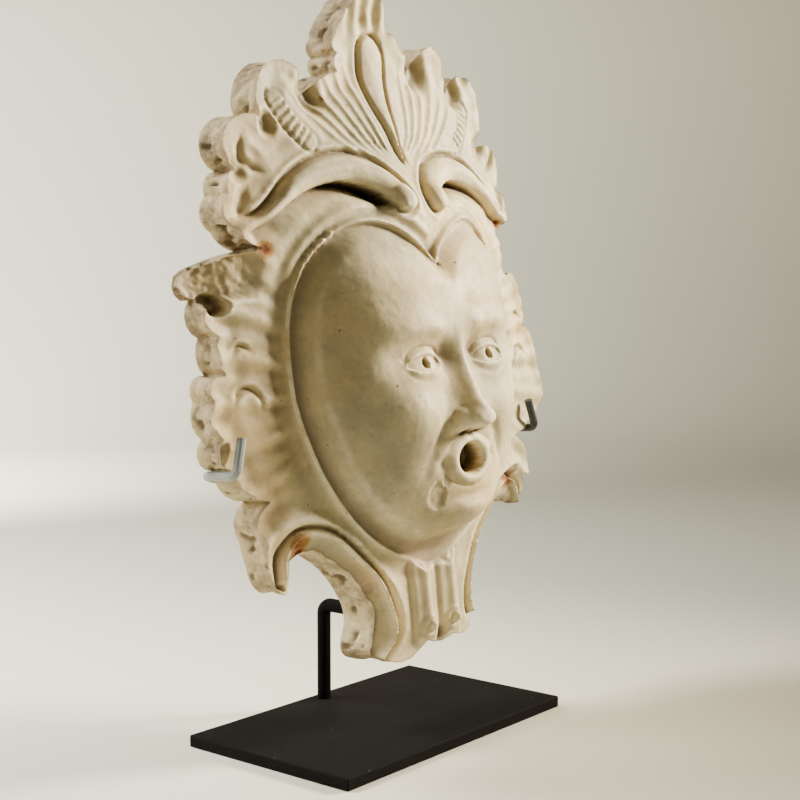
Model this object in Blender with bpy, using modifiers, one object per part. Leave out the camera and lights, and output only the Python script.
"""A carved marble fountain mask on its steel display stand.

The mask is one block of marble: a broad cartouche of rocaille work with a ragged lobed outline, a
palmette crest, scrolls, and a face in a heart shaped rim whose mouth is bored through as a spout.
It leans back a little in two wire hooks, on a bent rod that stands on a flat base plate.

Lengths are in metres. The carving is drawn in millimetres, as it is on the mask itself: x runs to
the viewer's right and z up, both from the middle of the mask, and depth comes forward from its flat
back. It is drawn for a mask DRAWN_HEIGHT tall and scaled to MASK_HEIGHT.
"""

import math

import bmesh
import bpy
import numpy as np
from mathutils import Matrix, Vector

# Mask
MASK_HEIGHT = 0.447
DRAWN_HEIGHT = 447.0
SCALE = MASK_HEIGHT / DRAWN_HEIGHT
GRID_STEP = 2.0
MASK_TRIANGLES = 7000
SPOUT_WIDTH = 0.019
LEAN_BACK = math.radians(3.6)
TURN = math.radians(3.4)
BOTTOM_CLEARANCE = 0.0465
MASK_X = 0.003
MASK_BACK_Y = 0.011
OUTLINE_THROUGH = 0.200

# Stand
PLATE_LENGTH = 0.234
PLATE_DEPTH = 0.140
PLATE_THICKNESS = 0.008
PLATE_CHAMFER = 0.0008
ROD_DIAMETER = 0.010
ROD_X = 0.006
ROD_Y = 0.060
ROD_RISE = 0.069
ROD_BEND_RADIUS = 0.007
ROD_SIDES = 12
SPINE_LENGTH = 0.085
WIRE_DIAMETER = 0.006
WIRE_BEND_RADIUS = 0.0055
HOOK_CLEARANCE = 0.003
HOOK_UPRIGHT = 0.022
HOOK_LEAN_IN = 0.007
SPINE_TAIL = 0.014
WIRES_BELOW_TOP = 0.012
GAP = 0.0003
PLACING_STEP = 0.02

ROD_RADIUS = ROD_DIAMETER / 2
WIRE_RADIUS = WIRE_DIAMETER / 2


# Outline of broken lobes

OUTLINE = (
    ("crest top", 14, 236, 0, 250),
    ("crest shoulder", -22, 239, -31, 231),
    ("crest side upper", -37, 219, -40, 214),
    ("crest side lower", -36, 208, -40, 202),
    ("crest foot", -37, 196, -52, 192),
    ("left leaf inner", -67, 180, -78, 200),
    ("left leaf crown", -94, 201, -108, 191),
    ("left leaf end", -114, 178, -113, 168),
    ("left leaf notch", -107, 160, -124, 167),
    ("second leaf", -138, 161, -145, 148),
    ("third leaf upper", -134, 133, -144, 126),
    ("third leaf lower", -144, 118, -150, 107),
    ("third leaf foot", -142, 96, -136, 89),
    ("spike upper", -124, 84, -148, 80),
    ("spike tip", -171, 74, -178, 66),
    ("first side lobe", -166, 56, -170, 44),
    ("second side lobe", -161, 33, -164, 21),
    ("third side lobe", -159, 10, -171, 5),
    ("fourth side lobe", -170, -5, -173, -16),
    ("hook lobe", -166, -28, -171, -38),
    ("under the hook", -160, -48, -155, -61),
    ("lower lobe", -136, -71, -146, -83),
    ("foot side", -143, -95, -141, -105),
    ("foot crown", -139, -113, -136, -123),
    ("foot underside", -130, -130, -123, -131),
    ("foot inner side", -119, -124, -118, -118),
    ("left arch top", -118, -112, -104, -108),
    ("left arch middle", -90, -115, -71, -130),
    ("left arch foot", -57, -150, -53, -163),
    ("left volute side", -57, -176, -59, -185),
    ("left volute", -52, -192, -34, -196),
    ("middle drop", -14, -187, 0, -191),
    ("right volute", 16, -189, 33, -192),
    ("right volute side", 45, -181, 50, -169),
    ("right arch", 51, -156, 61, -133),
    ("right arch top", 84, -113, 97, -110),
    ("scroll end under", 112, -111, 124, -117),
    ("scroll end", 135, -113, 140, -105),
    ("right lower lobe", 136, -97, 148, -94),
    ("right lower lobe top", 150, -86, 144, -73),
    ("right hook lobe", 130, -66, 152, -60),
    ("right side lobe", 172, -51, 181, -39),
    ("right side lobe top", 180, -26, 178, -15),
    ("right middle lobe", 172, -8, 173, 3),
    ("right upper lobe", 156, 17, 160, 34),
    ("right upper lobe top", 154, 48, 146, 56),
    ("right waist", 134, 55, 130, 70),
    ("right third leaf", 125, 88, 138, 94),
    ("right third leaf top", 145, 106, 142, 115),
    ("right second leaf", 132, 118, 139, 133),
    ("right second leaf top", 136, 146, 128, 151),
    ("right leaf end", 113, 150, 118, 165),
    ("right leaf crown", 121, 181, 117, 197),
    ("right leaf inner", 107, 203, 98, 200),
    ("right small leaf", 92, 189, 85, 194),
    ("right small leaf crown", 80, 200, 78, 213),
    ("right small leaf inner", 68, 221, 59, 217),
    ("crest right notch", 48, 201, 43, 200),
    ("crest right side", 40, 203, 37, 210),
    ("crest right shoulder", 31, 215, 24, 223),
    ("crest right top", 16, 225, 16, 230),
)
POINTS_PER_LOBE = 5


def arc_points(start, crown, end, count):
    """Points from start, without end, on the circle through the three points."""
    (ax, az), (bx, bz), (cx, cz) = start, crown, end
    turn = (bx - ax) * (cz - az) - (bz - az) * (cx - ax)
    if abs(turn) < 1e-6:
        return [(ax + (cx - ax) * k / count, az + (cz - az) * k / count) for k in range(count)]
    a2, b2, c2 = ax * ax + az * az, bx * bx + bz * bz, cx * cx + cz * cz
    d = 2 * (ax * (bz - cz) + bx * (cz - az) + cx * (az - bz))
    ox = (a2 * (bz - cz) + b2 * (cz - az) + c2 * (az - bz)) / d
    oz = (a2 * (cx - bx) + b2 * (ax - cx) + c2 * (bx - ax)) / d
    first = math.atan2(az - oz, ax - ox)
    last = math.atan2(cz - oz, cx - ox)
    if turn > 0:
        sweep = (last - first) % (2 * math.pi)
    else:
        sweep = -((first - last) % (2 * math.pi))
    radius = math.hypot(ax - ox, az - oz)
    angles = [first + sweep * k / count for k in range(count)]
    return [(ox + radius * math.cos(angle), oz + radius * math.sin(angle)) for angle in angles]


def outline_points():
    points = []
    for row, following in zip(OUTLINE, OUTLINE[1:] + OUTLINE[:1]):
        points += arc_points(row[1:3], row[3:5], following[1:3], POINTS_PER_LOBE)
    return points


# Helpers for carving

def smooth(start, end, value):
    t = np.clip((value - start) / (end - start), 0, 1)
    return t * t * (3 - 2 * t)


def hump(distance, width):
    return np.exp(-((distance / width) ** 2))


def curve_through(points, steps=8):
    """A smooth curve through the points, as the corners of short straight runs."""
    p = np.array(points, float)
    p = np.vstack([2 * p[0] - p[1], p, 2 * p[-1] - p[-2]])
    t = np.linspace(0, 1, steps, endpoint=False)[:, None]
    runs = []
    for a, b, c, d in zip(p, p[1:], p[2:], p[3:]):
        cubic = (3 * b - a - 3 * c + d) * t**3
        square = (2 * a - 5 * b + 4 * c - d) * t**2
        runs.append(0.5 * (2 * b + (c - a) * t + square + cubic))
    return np.vstack(runs + [p[-2:-1]])


FAR_AWAY = 1e3


def from_line(x, z, line, reach=FAR_AWAY):
    """Distance to a line, its side (positive left of its run) and the share run along it."""
    line = np.asarray(line, float)
    low, high = line.min(axis=0) - reach, line.max(axis=0) + reach
    near = (x > low[0]) & (x < high[0]) & (z > low[1]) & (z < high[1])
    nx, nz = x[near], z[near]
    nearest = np.full(nx.shape, FAR_AWAY)
    side = np.zeros(nx.shape)
    along = np.zeros(nx.shape)
    lengths = np.hypot(*np.diff(line, axis=0).T)
    run = np.concatenate([[0], np.cumsum(lengths)])
    for k in range(len(line) - 1):
        (px, pz), (qx, qz) = line[k], line[k + 1]
        ux, uz = qx - px, qz - pz
        t = np.clip(((nx - px) * ux + (nz - pz) * uz) / (ux * ux + uz * uz), 0, 1)
        ex, ez = nx - px - t * ux, nz - pz - t * uz
        far = np.hypot(ex, ez)
        closer = far < nearest
        nearest = np.where(closer, far, nearest)
        side = np.where(closer, np.sign(ux * ez - uz * ex), side)
        along = np.where(closer, (run[k] + t * lengths[k]) / run[-1], along)
    found = []
    for values, outside in ((nearest, FAR_AWAY), (side, 0), (along, 0)):
        full = np.full(x.shape, float(outside))
        full[near] = values
        found.append(full)
    return found


def inside_of(x, z, polygon):
    crossings = np.zeros(x.shape, int)
    for (px, pz), (qx, qz) in zip(polygon, np.roll(polygon, -1, axis=0)):
        if pz == qz:
            continue
        level = (z >= min(pz, qz)) & (z < max(pz, qz))
        crossings += level & (x < px + (z - pz) * (qx - px) / (qz - pz))
    return crossings % 2 == 1


# Carved lines

HEART_RIM = (
    (0, 68), (11, 80), (28, 91), (47, 97), (67, 95), (84, 86), (98, 72), (108, 54), (113, 33),
    (114, 10), (112, -15), (106, -38), (97, -62), (83, -85), (63, -106), (40, -121), (20, -130),
)
HEART_FLOOR = ((8, -135), (0, -136))
HOOD_LINE = ((112, 62), (104, 76), (92, 89), (76, 100), (54, 107), (32, 105), (14, 96), (0, 86))
SCROLL_GROOVE = (
    (140, 103), (128, 105), (117, 112), (99, 128), (76, 139), (51, 142), (29, 137),
    (15, 127), (7, 115), (8, 105), (16, 100), (24, 103),
)
SCROLL_RECESS = (
    (134, 93), (114, 103), (98, 113), (82, 120), (60, 124), (42, 121), (30, 115), (25, 106),
)
KNOB = (17, 111)
LADDER = ((74, 146), (84, 155), (93, 166), (101, 179))
LEAF_CRESCENT = ((129, 153), (131, 143), (126, 135), (115, 130))
LEAF_VEIN = ((128, 122), (136, 112), (138, 103))
LOWER_ROLL = (
    (143, -97), (130, -88), (113, -86), (94, -92), (74, -107), (56, -124), (42, -143),
    (33, -162), (33, -178), (44, -192),
)
LOWER_FILLET = (
    (127, -122), (126, -107), (112, -96), (91, -101), (71, -118), (54, -136), (44, -157),
    (43, -175), (56, -189),
)
UPPER_NAIL_CUT = ((156, 21), (149, 27), (138, 21))
LOWER_NAIL_CUT = ((158, -12), (152, -1), (142, 0), (134, -8), (131, -17))


# Body, dished leaves and hollows

CREST_HOLLOWS = (
    ("left leaf inner", 9, 8),
    ("left leaf notch", 6, 6),
    ("third leaf upper", 6, 4),
    ("crest right notch", 10, 9),
    ("right small leaf", 9, 8),
    ("right leaf inner", 6, 4),
    ("right leaf end", 7, 5),
)


def body_depth(x, z):
    crest = 41 - 20 * smooth(96, 150, z) - 13 * smooth(145, 200, z) + 4 * smooth(215, 250, z)
    swell = crest - 19 * smooth(-60, -140, z)
    spread = 105 + 25 * smooth(120, 180, z)
    return 16 + swell * np.exp(-((x / spread) ** 2))


def leaf_dish(x, z, edge):
    crest = smooth(84, 100, z)
    shell = (1 - crest) * smooth(118, 134, np.abs(x))
    return -3.4 * crest * hump(edge - 12, 7) - 1.6 * shell * hump(edge - 9, 6)


def crest_hollows(x, z):
    total = np.zeros(x.shape)
    for name, radius, deep in CREST_HOLLOWS:
        _, px, pz, _, _ = next(row for row in OUTLINE if row[0] == name)
        away = np.hypot(x - px, (z - pz) * 0.8)
        total -= deep * smooth(1.5 * radius, 0.3 * radius, away)
    return total


def shell_ripples(x, z):
    """Low waves that run from the rim of the heart out to the edge."""
    turn = np.arctan2(z + 6, np.abs(x))
    wave = 1.0 * np.cos(turn * 34 + 0.6 * np.sin(turn * 9)) + 0.6 * np.cos(turn * 71 + 1.3)
    return wave * smooth(112, 126, np.abs(x)) * smooth(92, 76, z) * smooth(-92, -76, z)


# Palmette

FAN_RIBS = 5
FAN_ROOTS = ((5, 139), (15, 133))
FAN_KNEES = ((21, 155), (60, 144))
FAN_TIPS = ((31, 208), (88, 189))
SPOON_TOP = (-2, 209)
SPOON_FOOT = (4, 134)
SPOON_HALF_WIDTH = 12.5


def fan(ax, z):
    relief = np.zeros(ax.shape)
    t = np.linspace(0, 1, 15)[:, None]
    for k in range(FAN_RIBS):
        share = k / (FAN_RIBS - 1)
        root, knee, tip = (
            np.array(ends[0]) * (1 - share) + np.array(ends[1]) * share
            for ends in (FAN_ROOTS, FAN_KNEES, FAN_TIPS)
        )
        rib = root * (1 - t) ** 2 + 2 * knee * t * (1 - t) + tip * t**2
        away, _, along = from_line(ax, z, rib, reach=20)
        height = 3.0 * smooth(0, 0.12, along) * (1 - 0.75 * smooth(0.72, 1, along))
        relief += height * hump(away, 1.3 + 1.3 * along) - 0.45 * height * hump(away, 4.6 + 3 * along)
    return relief


def spoon(x, z):
    length = SPOON_TOP[1] - SPOON_FOOT[1]
    share = np.clip((z - SPOON_FOOT[1]) / length, 0, 1)
    middle = SPOON_FOOT[0] + (SPOON_TOP[0] - SPOON_FOOT[0]) * share - 5 * np.sin(math.pi * share)
    half = 1.2 + (SPOON_HALF_WIDTH - 1.2) * smooth(0, 0.95, share)
    over = np.maximum(z - SPOON_TOP[1], 0)
    reach = np.hypot(x - middle, over)
    below = smooth(SPOON_FOOT[1] - 4, SPOON_FOOT[1] + 8, z)
    petal = 2.2 * np.clip(1 - (reach / half) ** 2, 0, 1)
    return below * (petal - 3.2 * hump(reach - half - 1.0, 1.5))


def crest_flutes(x, z):
    wave = np.cos((x + 4) / 13 * 2 * math.pi)
    return 1.3 * wave * smooth(216, 232, z) * smooth(36, 22, np.abs(x + 4))


# Scrolls of the crest

RUNGS = 6.5


def upper_scrolls(ax, z):
    groove, side, along = from_line(ax, z, curve_through(SCROLL_GROOVE), reach=40)
    recess, under, share = from_line(ax, z, curve_through(SCROLL_RECESS), reach=40)
    ends = smooth(0, 0.08, along) * (1 - 0.6 * smooth(0.75, 1, along))
    line = (1.5 * hump(groove - 4 * (side < 0), 2.2) * (side < 0) - 3.6 * hump(groove, 2.2)) * ends
    width = groove + recess
    in_band = (side > 0) & (under < 0) & (width < 60)
    band = np.where(in_band, 5.5 * (1 - ((groove - recess) / np.maximum(width, 1)) ** 2), 0)
    fade = smooth(150, 128, ax)
    deep = 3 + 17 * smooth(0.2, 0.93, share)
    below = np.where(under > 0, recess, 0)
    ending = smooth(1.0, 0.96, share) * smooth(0.0, 0.05, share)
    drop = -deep * smooth(0, 1.8, below) * np.exp(-((below / 10) ** 2)) * ending
    knob = 3.2 * np.sqrt(np.clip(1 - (np.hypot(ax - KNOB[0], z - KNOB[1]) / 9.5) ** 2, 0, 1))
    return line + band * fade + drop + knob


def ladder(ax, z):
    away, side, along = from_line(ax, z, curve_through(LADDER), reach=20)
    strip = smooth(6.4, 5.4, away) * smooth(0, 0.03, along) * smooth(1, 0.97, along)
    rungs = np.abs(np.cos(along * RUNGS * math.pi))
    kerb = hump(away - 7.2, 1.3) * (0.35 + 0.65 * (side < 0))
    return strip * (1.6 * rungs - 2.2) - 3.0 * kerb


def gouge_cuts(ax, z):
    total = 0
    for points, width, deep in (
        (LEAF_CRESCENT, 2.6, 4.2),
        (LEAF_VEIN, 3.5, 1.8),
        (UPPER_NAIL_CUT, 1.8, 3.4),
        (LOWER_NAIL_CUT, 2.0, 4.2),
    ):
        away, side, along = from_line(ax, z, curve_through(points), reach=14)
        taper = 0.3 + 0.7 * np.sin(math.pi * along)
        total = total - deep * hump(away, width * taper) * taper
        total = total + 0.35 * deep * hump(away - 1.9 * width, width) * taper
    return total


# Lower scrolls and pendant

def lower_scrolls(ax, z, edge):
    roll, side, along = from_line(ax, z, curve_through(LOWER_ROLL), reach=30)
    fillet, beyond, share = from_line(ax, z, curve_through(LOWER_FILLET), reach=30)
    relief = 4.2 * hump(roll, 5.0) * smooth(1, 0.45, along)
    relief += 3.4 * hump(fillet, 2.2)
    between = (side > 0) & (beyond < 0)
    relief -= np.where(between, 4.6 * hump(fillet - 4.6, 2.6), 0)
    arch = smooth(-88, -100, z) * smooth(130, 118, ax) * smooth(30, 40, ax)
    relief -= arch * np.where(beyond > 0, 6.5 * np.exp(-edge / 8), 0)
    return relief


def pendant(x, z):
    ax = np.abs(x)
    top = -134 + 4 * np.cos(ax / 24 * 2 * math.pi)
    panel = smooth(top + 1.6, top - 1.6, z) * smooth(27, 22, ax) * smooth(-192, -182, z)
    rib = 3.4 * hump(ax - 14, 4.5) * smooth(-184, -172, z) * smooth(-112, -130, z)
    curl = np.hypot(ax - 13, z + 176)
    curls = 4.5 * np.clip(1 - (curl / 9) ** 2, 0, 1) - 2.4 * hump(curl - 4.5, 1.2)
    eye = -9 * hump(np.hypot(x - 2, z + 184), 3.6)
    return 3.4 * panel + rib + curls + eye - 2.6 * hump(ax, 3) * smooth(-128, -140, z)


# Proportions and the plain head

HAIRLINE = 80
CHIN = -104
THIRD = (HAIRLINE - CHIN) / 3
FACE_WIDTH = 172
BROW_LINE = HAIRLINE - THIRD
NOSE_BASE = BROW_LINE - THIRD
MOUTH_LINE = NOSE_BASE - THIRD / 3
EYE_WIDTH = FACE_WIDTH / 5
EYE_LINE = BROW_LINE - 0.27 * THIRD
EYE_MIDDLE = EYE_WIDTH
HEAD_FRONT = (
    (-126, 38), (-117, 48), (-109, 66), (-100, 76), (-86, 79), (-60, 81), (-34, 82), (-8, 81),
    (14, 82), (32, 82), (54, 78), (74, 68), (92, 55), (112, 44),
)
HEAD_WIDTH = (
    (-126, 22), (-108, 50), (-86, 74), (-60, 93), (-34, 104), (0, 109), (34, 108), (60, 101),
    (84, 86), (112, 62),
)


def head_form(ax, z, ground):
    front_line = curve_through(HEAD_FRONT)
    width_line = curve_through(HEAD_WIDTH)
    front = np.interp(z, front_line[:, 0], front_line[:, 1])
    width = np.interp(z, width_line[:, 0], width_line[:, 1])
    across = np.clip(1 - (ax / width) ** 2.5, 0, 1) ** 0.62
    return ground + np.maximum(front - ground, 0) * across


def cheek_forms(ax, z):
    cheek = 6.0 * np.exp(-(((ax - 46) / 25) ** 2) - (((z + 30) / 24) ** 2))
    cheekbone = 2.5 * np.exp(-(((ax - 66) / 20) ** 2) - (((z + 6) / 13) ** 2))
    temple = -3.5 * np.exp(-(((ax - 84) / 13) ** 2) - (((z - 28) / 24) ** 2))
    fold = -1.6 * hump((ax - 23) - (NOSE_BASE + 8 - z) * 0.5, 4.5)
    fold = fold * smooth(-30, -42, z) * smooth(-78, -58, z)
    return cheek + cheekbone + temple + fold


# Eyes

PUPIL_RADIUS = 3.0
EYE_BALL = (18, 11.5)


def eye_forms(ax, z):
    u, v = ax - EYE_MIDDLE, z - EYE_LINE
    socket = -8.5 * np.exp(-((u / 25) ** 2) - (((v - 4) / 13) ** 2))
    corner = -4.5 * np.exp(-(((u + 18) / 9) ** 2) - (((v - 4) / 11) ** 2))
    ball = 10 * np.exp(-np.abs(u / EYE_BALL[0]) ** 2.4 - np.abs((v - 0.5) / EYE_BALL[1]) ** 2.4)
    half = EYE_WIDTH / 2
    almond = np.clip(1 - np.abs(u / half) ** 2.0, 0, 1) ** 0.75
    upper, lower = 6.4 * almond, -4.4 * almond
    wide = np.abs(u)
    opened = smooth(0.5, -0.5, v - upper) * smooth(-0.5, 0.5, v - lower)
    opened *= smooth(half + 0.5, half - 1, wide)
    sides = smooth(half + 5, half - 3, wide)
    lid_edge = 0.9 * hump(v - upper - 1.0, 1.1) * sides + 0.6 * hump(v - lower + 0.9, 1.1) * sides
    crease = -1.5 * hump(v - 1.15 * upper - 4.6, 1.4) * sides
    under = -0.7 * hump(v - 1.3 * lower + 4.6, 2.0) * sides
    pupil = -8 * smooth(PUPIL_RADIUS + 0.6, PUPIL_RADIUS - 0.6, np.hypot(u, v - 0.9))
    arch = BROW_LINE + 1 + 6 * np.sin(math.pi * np.clip((ax - 6) / 70, 0, 1))
    brow = 2.4 * hump(z - arch, 6.5) * smooth(6, 24, ax) * smooth(78, 48, ax)
    return socket + corner + ball - 1.7 * opened + lid_edge + crease + under + pupil + brow


# Nose

NOSE_HEIGHT = 18
NOSE_BRIDGE_TOP = BROW_LINE - 6


def nose_form(x, z):
    ax = np.abs(x)
    share = np.clip((NOSE_BRIDGE_TOP - z) / (NOSE_BRIDGE_TOP - NOSE_BASE), 0, 1)
    height = 2 + (NOSE_HEIGHT - 2) * smooth(-0.15, 1.0, share)
    half = 9.0 + 4.5 * share**1.6
    under = smooth(NOSE_BASE - 4, NOSE_BASE + 3, z)
    top = smooth(BROW_LINE + 12, BROW_LINE - 14, z)
    bridge = height * np.exp(-np.abs(ax / half) ** 2.0) * under * top
    tip = 4.5 * np.clip(1 - (np.hypot(x, z - NOSE_BASE - 8.5) / 11.5) ** 2, 0, 1)
    wing = np.exp(-np.abs((ax - 12) / 7) ** 2.4 - np.abs((z - NOSE_BASE - 6.5) / 7.5) ** 2.4)
    round_wing = np.hypot((ax - 12) / 8.5, (z - NOSE_BASE - 6.5) / 9)
    groove = -1.0 * hump(round_wing - 1.0, 0.16) * smooth(9, 13, ax)
    nostril = -6 * np.exp(-(((ax - 7) / 3.6) ** 2) - (((z - NOSE_BASE + 0.8) / 2.6) ** 2))
    return bridge + tip + 6.0 * wing + groove + nostril


# Mouth and chin

MOUTH_HALF_WIDTH = 25
UPPER_LIP = 17.0
LOWER_LIP = 19.5
OPENING = (12.5, 10.8)
OPENING_DEPTH = 13


def mouth_forms(x, z):
    ax = np.abs(x)
    v = z - MOUTH_LINE
    muzzle = 5.5 * np.exp(-((x / 31) ** 2) - (((v + 1) / 23) ** 2))
    bow = 1.5 * np.exp(-(((ax - 5) / 4.5) ** 2)) - 1.6 * hump(ax, 3.0)
    reach = np.where(v > 0, UPPER_LIP + bow, LOWER_LIP)
    q = np.abs(x / MOUTH_HALF_WIDTH) ** 1.7 + (v / reach) ** 2
    opening = np.hypot(x / OPENING[0], v / OPENING[1])
    full = 4.0 + 1.4 * smooth(4, -8, v)
    lips = full * smooth(1.12, 0.62, q) * smooth(0.80, 1.25, opening)
    border = -0.9 * hump(q - 1.12, 0.09) * smooth(26, 20, ax)
    window = smooth(MOUTH_LINE + 15, MOUTH_LINE + 18, z) * smooth(NOSE_BASE, NOSE_BASE - 4, z)
    philtrum = (0.8 * hump(ax - 5, 2.2) - 1.5 * hump(ax, 2.8)) * window
    corners = -3.0 * np.exp(-(((ax - 26.5) / 4.2) ** 2) - (((v + 0.5) / 4.5) ** 2))
    fold = -4.0 * np.exp(-((x / 20) ** 2) - (((v + 24.5) / 5) ** 2))
    chin = 6.5 * np.exp(-((x / 21) ** 2) - (((z - CHIN - 10.5) / 12) ** 2))
    hollow = -OPENING_DEPTH * smooth(1.03, 0.88, opening)
    return muzzle + lips + border + philtrum + corners + fold + chin + hollow


# Depth of the carved front

BEAD_HEIGHT = 3.2
BEAD_HALF_WIDTH = 1.9
THINNEST = 5.0


def carved_depth(x, z):
    """Depth of the whole carved front over the flat back, in millimetres."""
    ax = np.abs(x)
    rim_line = curve_through(HEART_RIM + HEART_FLOOR)
    rim, _, along = from_line(ax, z, rim_line)
    heart = np.vstack([rim_line, rim_line[::-1] * (-1, 1)])
    inside = inside_of(x, z, heart)
    within = np.where(inside, rim, -rim)

    outline = np.array(outline_points())
    edge = np.full(x.shape, FAR_AWAY)
    outer = within < 0
    edge[outer], _, _ = from_line(x[outer], z[outer], np.vstack([outline, outline[:1]]))
    body = body_depth(x, z)
    depth = body + leaf_dish(x, z, edge) + crest_hollows(x, z) + shell_ripples(x, z)
    depth += fan(ax, z) + spoon(x, z) + crest_flutes(x, z)
    depth += upper_scrolls(ax, z) + ladder(ax, z) + gouge_cuts(ax, z)
    depth += lower_scrolls(ax, z, edge) + pendant(x, z)
    hood, above, _ = from_line(ax, z, curve_through(HOOD_LINE), reach=20)
    depth += 2.6 * hump(hood, 3.6) * smooth(60, 74, z)
    depth -= 2.0 * hump(within + 5.0, 3.0) * smooth(1, 0.85, along)

    ground = body - 4.0
    face = head_form(ax, z, ground)
    features = eye_forms(ax, z) + nose_form(x, z) + mouth_forms(x, z) + cheek_forms(ax, z)
    face = ground + (face - ground) * smooth(0, 9, within) + features * smooth(4, 18, within)
    depth += (face - depth) * smooth(-1.6, 1.6, within)
    depth += BEAD_HEIGHT * np.exp(-np.abs(rim / BEAD_HALF_WIDTH) ** 2.4) * smooth(1, 0.82, along)

    broken = 18 - 12 * smooth(-138, -172, x)
    spike = smooth(-132, -140, x) * smooth(84, 80, z) * smooth(52, 58, z)
    depth = depth * (1 - spike) + np.minimum(depth, broken) * spike
    depth -= 11 * smooth(7.5, 5, np.hypot((x + 160) * 0.8, z - 52))

    spare = outer & (edge > 5) & ~inside_of(x, z, outline)
    return np.maximum(np.where(spare, body, depth), THINNEST)


# Mask

GRID_MARGIN = 6


def object_from(name, mesh, collection, parent=None):
    obj = bpy.data.objects.new(name, mesh)
    collection.objects.link(obj)
    obj.parent = parent
    return obj


def evaluated_mesh(obj):
    """The object's shape with its modifiers applied, with loose caps welded."""
    bpy.context.view_layer.update()
    mesh = bpy.data.meshes.new_from_object(obj.evaluated_get(bpy.context.evaluated_depsgraph_get()))
    bm = bmesh.new()
    bm.from_mesh(mesh)
    bmesh.ops.remove_doubles(bm, verts=bm.verts, dist=1e-6)
    bm.to_mesh(mesh)
    bm.free()
    return mesh


def carved_block(collection):
    """A rectangular block with the carved front, and with a flat back at y = 0."""
    points = np.array(outline_points())
    low = points.min(axis=0) - GRID_MARGIN
    high = points.max(axis=0) + GRID_MARGIN
    columns, rows = (int(n) for n in np.ceil((high - low) / GRID_STEP))
    bm = bmesh.new()
    bmesh.ops.create_grid(bm, x_segments=columns, y_segments=rows, size=0.5)
    flat = np.array([v.co for v in bm.verts])
    x = low[0] + (flat[:, 0] + 0.5) * (high[0] - low[0])
    z = low[1] + (flat[:, 1] + 0.5) * (high[1] - low[1])
    depth = carved_depth(x, z)
    for vert, px, pz, d in zip(bm.verts, x, z, depth):
        vert.co = Vector((px, -d, pz)) * SCALE
    rim = [edge for edge in bm.edges if edge.is_boundary]
    walls = bmesh.ops.extrude_edge_only(bm, edges=rim)
    for vert in (item for item in walls["geom"] if isinstance(item, bmesh.types.BMVert)):
        vert.co.y = 0
    back = [edge for edge in bm.edges if edge.is_boundary]
    bmesh.ops.edgeloop_fill(bm, edges=back)
    bmesh.ops.recalc_face_normals(bm, faces=bm.faces)
    mesh = bpy.data.meshes.new("marble_mask")
    bm.to_mesh(mesh)
    bm.free()
    return object_from("marble_mask", mesh, collection)


def outline_prism(collection):
    """The lobed outline as a filled curve, thick enough to pass right through the block."""
    curve = bpy.data.curves.new("outline", "CURVE")
    curve.dimensions = "2D"
    curve.fill_mode = "BOTH"
    curve.extrude = OUTLINE_THROUGH
    spline = curve.splines.new("POLY")
    points = outline_points()
    spline.points.add(len(points) - 1)
    for point, (x, z) in zip(spline.points, points):
        point.co = (x * SCALE, z * SCALE, 0, 1)
    spline.use_cyclic_u = True
    drawn = object_from("outline_curve", curve, collection)
    drawn.rotation_euler = (math.pi / 2, 0, 0)
    mesh = evaluated_mesh(drawn)
    mesh.transform(Matrix.Rotation(math.pi / 2, 4, "X"))
    bpy.data.objects.remove(drawn)
    return object_from("outline_prism", mesh, collection)


def add_boolean(obj, cutter, operation):
    modifier = obj.modifiers.new(cutter.name, "BOOLEAN")
    modifier.operation = operation
    modifier.solver = "EXACT"
    modifier.object = cutter
    cutter.hide_render = True
    cutter.display_type = "WIRE"


def marble_mask(collection, cutters, parent):
    mask = carved_block(collection)
    mask.parent = parent
    mesh = mask.data
    mesh.calc_loop_triangles()
    fewer = mask.modifiers.new("fewer_faces", "DECIMATE")
    fewer.ratio = min(1, MASK_TRIANGLES / len(mesh.loop_triangles))
    prism = outline_prism(cutters)
    prism.parent = parent
    add_boolean(mask, prism, "INTERSECT")

    bpy.ops.mesh.primitive_cylinder_add(vertices=28, radius=SPOUT_WIDTH / 2, depth=2 * OUTLINE_THROUGH)
    bore = bpy.context.object
    bore.name = "spout_bore"
    bore.data.transform(Matrix.Rotation(math.pi / 2, 4, "X"))
    for other in list(bore.users_collection):
        other.objects.unlink(bore)
    cutters.objects.link(bore)
    bore.parent = parent
    bore.location = (0, 0, MOUTH_LINE * SCALE)
    add_boolean(mask, bore, "DIFFERENCE")
    mesh.shade_smooth()
    mesh.set_sharp_from_angle(angle=math.radians(50))
    mesh.materials.clear()
    mesh.materials.append(finish("ivory_marble", (0.62, 0.55, 0.42), roughness=0.5))
    return mask


# Stand


def finish(name, colour, roughness, metallic=0.0):
    material = bpy.data.materials.new(name)
    material.use_nodes = True
    shader = material.node_tree.nodes["Principled BSDF"]
    shader.inputs["Base Color"].default_value = (*colour, 1)
    shader.inputs["Roughness"].default_value = roughness
    shader.inputs["Metallic"].default_value = metallic
    return material


def base_plate(collection, material):
    bm = bmesh.new()
    bmesh.ops.create_cube(bm, size=1)
    bmesh.ops.scale(bm, verts=bm.verts, vec=(PLATE_LENGTH, PLATE_DEPTH, PLATE_THICKNESS))
    mesh = bpy.data.meshes.new("base_plate")
    bm.to_mesh(mesh)
    bm.free()
    plate = object_from("base_plate", mesh, collection)
    plate.location = (0, 0, PLATE_THICKNESS / 2)
    edges = plate.modifiers.new("chamfer", "BEVEL")
    edges.width = PLATE_CHAMFER
    edges.segments = 1
    mesh.materials.append(material)
    return plate


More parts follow.
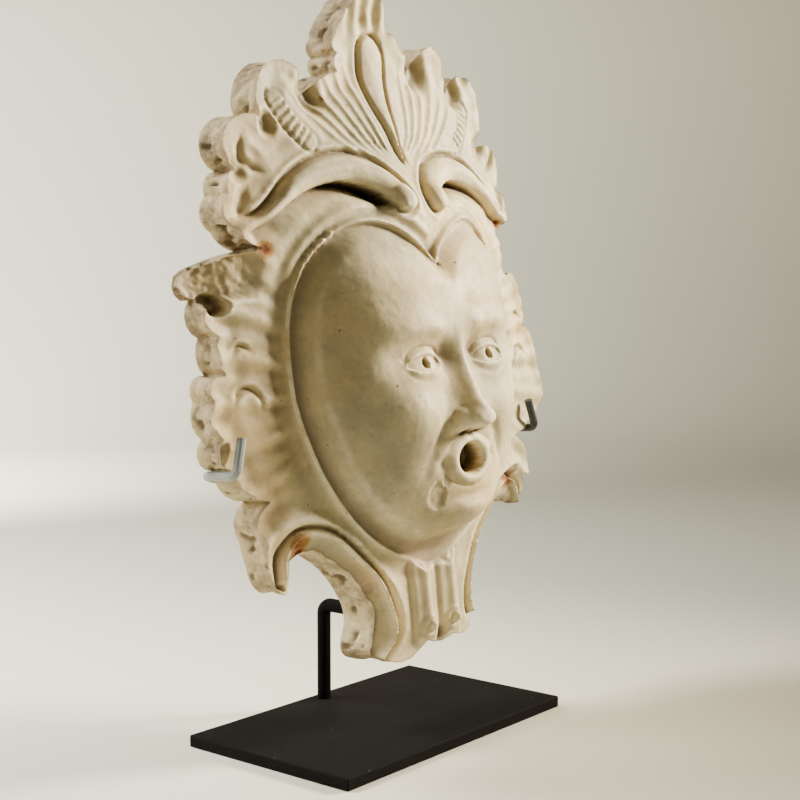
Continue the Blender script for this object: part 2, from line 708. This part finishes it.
def rounded_path(corners, radius, steps):
    """The corners joined by straight runs, with each inner corner turned on an arc of the radius."""
    corners = [Vector(c) for c in corners]
    path = [corners[0]]
    for before, corner, after in zip(corners, corners[1:], corners[2:]):
        inward = (before - corner).normalized()
        onward = (after - corner).normalized()
        half = inward.angle(onward) / 2
        tangent = radius / math.tan(half)
        centre = corner + (inward + onward).normalized() * radius / math.sin(half)
        start = corner + inward * tangent - centre
        end = corner + onward * tangent - centre
        sweep = start.angle(end)
        for k in range(steps + 1):
            share = k / steps
            turned = start * math.sin((1 - share) * sweep) + end * math.sin(share * sweep)
            path.append(centre + turned / math.sin(sweep))
    path.append(corners[-1])
    return path


def bent_rod(name, path, radius, collection, material, parent=None):
    curve = bpy.data.curves.new(name, "CURVE")
    curve.dimensions = "3D"
    curve.bevel_depth = radius
    curve.bevel_resolution = ROD_SIDES // 2 - 2
    curve.use_fill_caps = True
    spline = curve.splines.new("POLY")
    spline.points.add(len(path) - 1)
    for point, place in zip(spline.points, path):
        point.co = (*place, 1)
    curve.materials.append(material)
    return object_from(name, curve, collection, parent)


def support_rod(collection, material, lean, middle):
    """Up from the plate, forward under the mask, then up its back as far as below the spout."""
    back = ROD_RADIUS + GAP
    run = PLATE_THICKNESS + ROD_RISE
    low = (run - middle.z + back * math.sin(LEAN_BACK)) / math.cos(LEAN_BACK)
    spine_foot = lean @ Vector((ROD_X - middle.x, back, low))
    spine_top = lean @ Vector((ROD_X - middle.x, back, low + SPINE_LENGTH))
    corners = (
        (ROD_X, ROD_Y, PLATE_THICKNESS + GAP),
        (ROD_X, ROD_Y, run),
        spine_foot,
        spine_top,
    )
    path = rounded_path(corners, ROD_BEND_RADIUS, 6)
    bent_rod("support_rod", path, ROD_RADIUS, collection, material)
    return lean @ Vector((ROD_X - middle.x, back, low + SPINE_LENGTH - WIRES_BELOW_TOP))


def hook_path(start, place, inward):
    """From the spine out along the back, forward under a lobe, and up in front of it."""
    behind = WIRE_RADIUS + GAP
    across = (0, inward * HOOK_LEAN_IN / 2, inward * HOOK_LEAN_IN)
    sample = np.array([(place.x + s) / SCALE for s in across])
    heights = np.array([(place.z + s) / SCALE for s in (0, HOOK_UPRIGHT / 2, HOOK_UPRIGHT)])
    front = carved_depth(sample, heights).max() * SCALE + WIRE_RADIUS + HOOK_CLEARANCE
    out = math.copysign(SPINE_TAIL, place.x)
    return rounded_path(
        (
            (start.x, behind, start.z),
            (start.x + out, behind, start.z),
            (place.x, behind, place.z),
            (place.x, -front, place.z),
            (place.x + inward * HOOK_LEAN_IN, -front, place.z + HOOK_UPRIGHT),
        ),
        WIRE_BEND_RADIUS,
        5,
    )


def resting_place(name, outward, crown=False):
    """Out from a notch or crown of the outline, the first place where a wire clears it by the gap."""
    row = next(row for row in OUTLINE if row[0] == name)
    corner = np.array(row[3:5] if crown else row[1:3], float)
    closed = np.array(outline_points() + outline_points()[:1])
    lying = (WIRE_RADIUS + GAP) / SCALE
    reach = 0.0
    while True:
        x, z = corner + np.array(outward) * reach
        away, _, _ = from_line(np.array([x]), np.array([z]), closed)
        if away[0] >= lying:
            return Vector((x, 0, z)) * SCALE
        reach += PLACING_STEP


def hooks(collection, parent, fixing):
    """Each wire bears on the mask from below."""
    left = resting_place("under the hook", (-0.80, -0.60))
    right = resting_place("right hook lobe", (0.34, -0.94), crown=True)
    fixing = parent.matrix_world.inverted() @ fixing
    for name, place, inward, colour in (
        ("left_hook", left, 1, (0.20, 0.22, 0.22)),
        ("right_hook", right, -1, (0.05, 0.06, 0.065)),
    ):
        side = math.copysign(ROD_RADIUS + 2 * GAP, place.x)
        start = Vector((fixing.x + side, 0, fixing.z))
        paint = finish(name + "_paint", colour, roughness=0.45)
        bent_rod(name, hook_path(start, place, inward), WIRE_RADIUS, collection, paint, parent)


def empty(name, collection, parent=None):
    return object_from(name, None, collection, parent)


def main():
    for obj in list(bpy.data.objects):
        bpy.data.objects.remove(obj)
    collection = bpy.data.collections.new("marble_fountain_mask")
    cutters = bpy.data.collections.new("cutters")
    bpy.context.scene.collection.children.link(collection)
    bpy.context.scene.collection.children.link(cutters)

    lowest = min(z for _, z in outline_points()) * SCALE
    middle = Vector((MASK_X, MASK_BACK_Y, PLATE_THICKNESS + BOTTOM_CLEARANCE - lowest))
    lean = empty("lean", collection)
    lean.location = middle
    lean.rotation_euler = (-LEAN_BACK, 0, 0)
    turn = empty("turn", collection, lean)
    turn.rotation_euler = (0, -TURN, 0)
    bpy.context.view_layer.update()

    steel = finish("black_steel", (0.018, 0.017, 0.016), roughness=0.55, metallic=0.3)
    base_plate(collection, steel)
    fixing = support_rod(collection, steel, lean.matrix_world.copy(), middle)
    hooks(collection, turn, fixing)
    marble_mask(collection, cutters, turn)


main()
